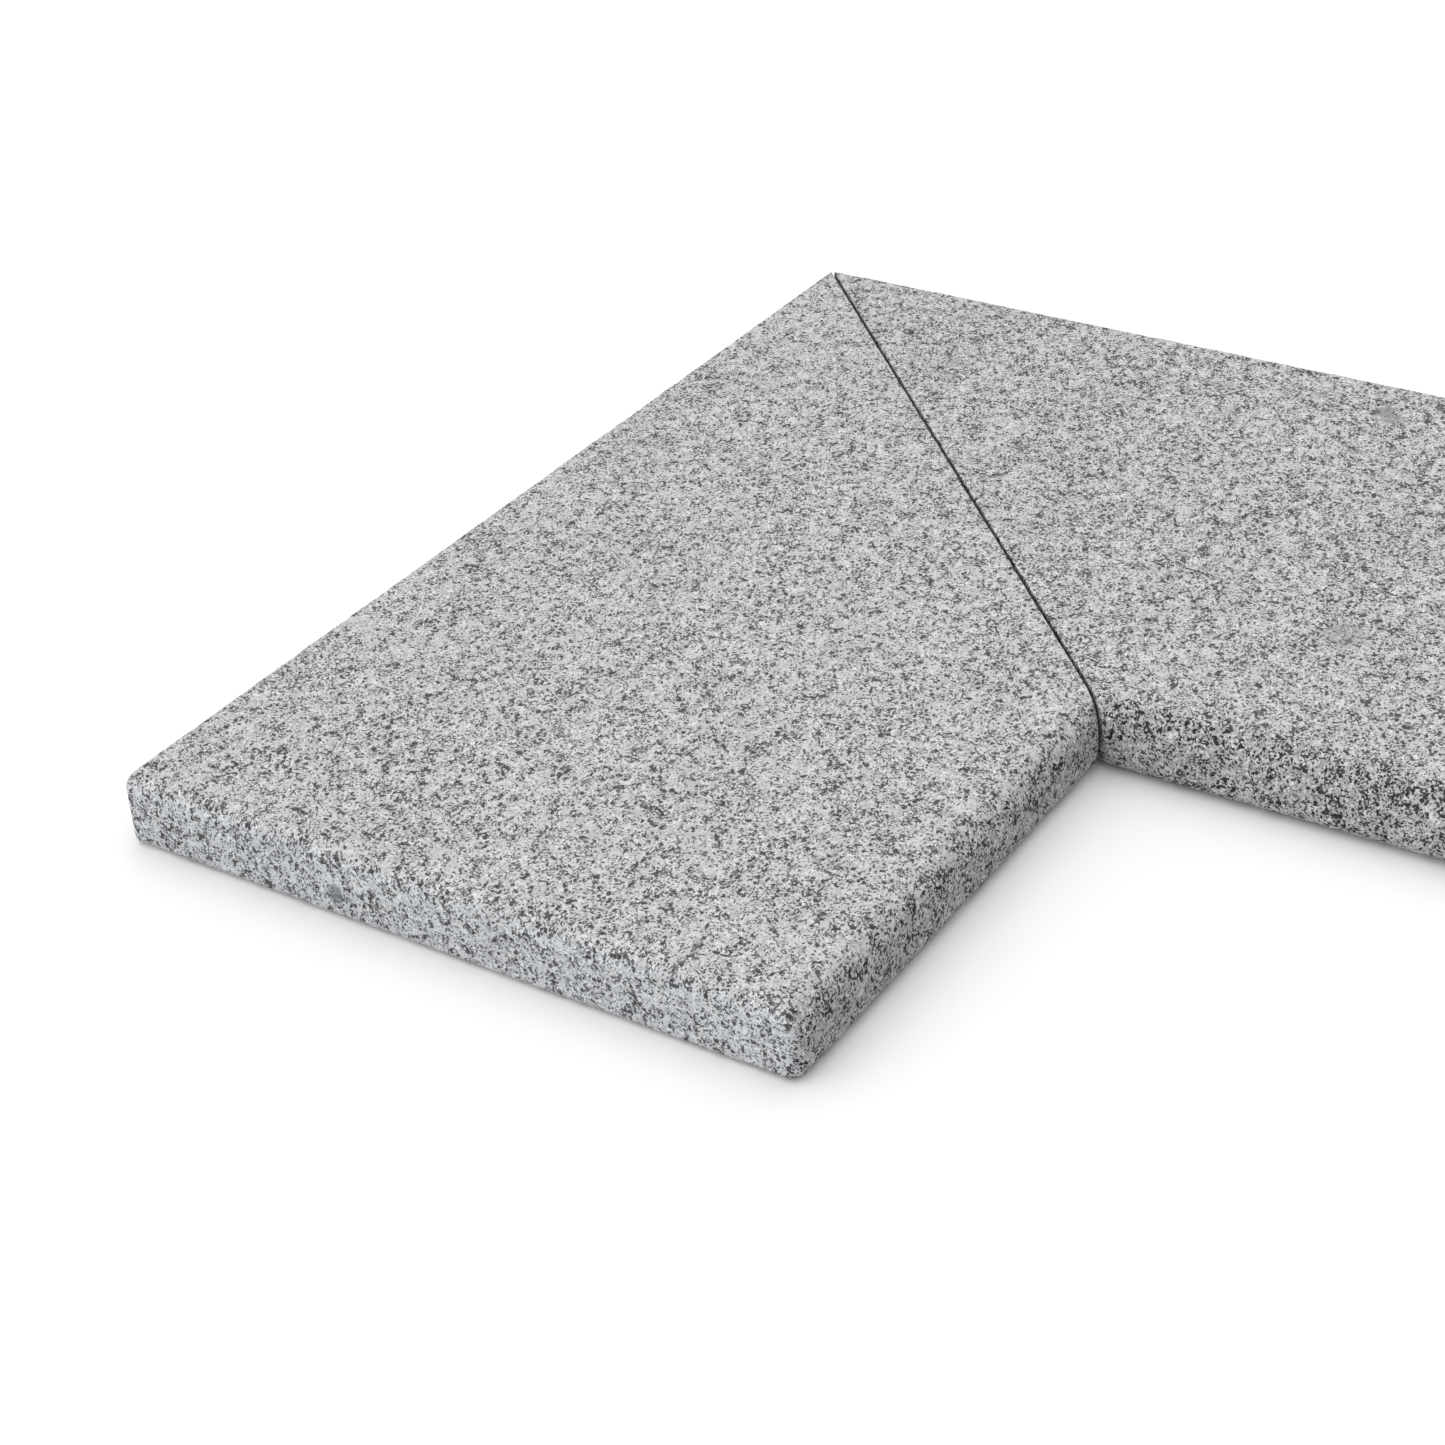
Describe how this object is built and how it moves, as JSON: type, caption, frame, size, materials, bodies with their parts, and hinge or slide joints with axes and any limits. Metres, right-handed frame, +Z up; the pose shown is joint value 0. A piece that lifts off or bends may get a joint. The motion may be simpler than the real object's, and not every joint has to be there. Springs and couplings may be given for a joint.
{
  "type": "granite coping corner",
  "caption": "Pair of thick granite coping stones with rounded pool edges, laid dry as a mitred right-angled corner.",
  "frame": {"origin": "middle of the pair's square footprint, on the bedding plane under the stones", "axes": "+Z up, out of the walking face; +X along the right stone, away from the mitre; the left stone runs along -Y, so the outer corner is at -X +Y and the pool lies on the +X -Y side"},
  "size_m": [0.6008, 0.6008, 0.035],
  "materials": {
    "granite": "fine flamed and brushed silver-grey granite, matte, with black biotite flecks"
  },
  "bodies": {
    "left_stone": {"left_coping_stone": "granite"},
    "right_stone": {"right_coping_stone": "granite"}
  },
  "joints": [
    {"name": "mitre_gap", "type": "slide", "parent": "left_stone", "child": "right_stone", "axis": [1, 0, 0], "range_m": [0, 0.0125]}
  ]
}
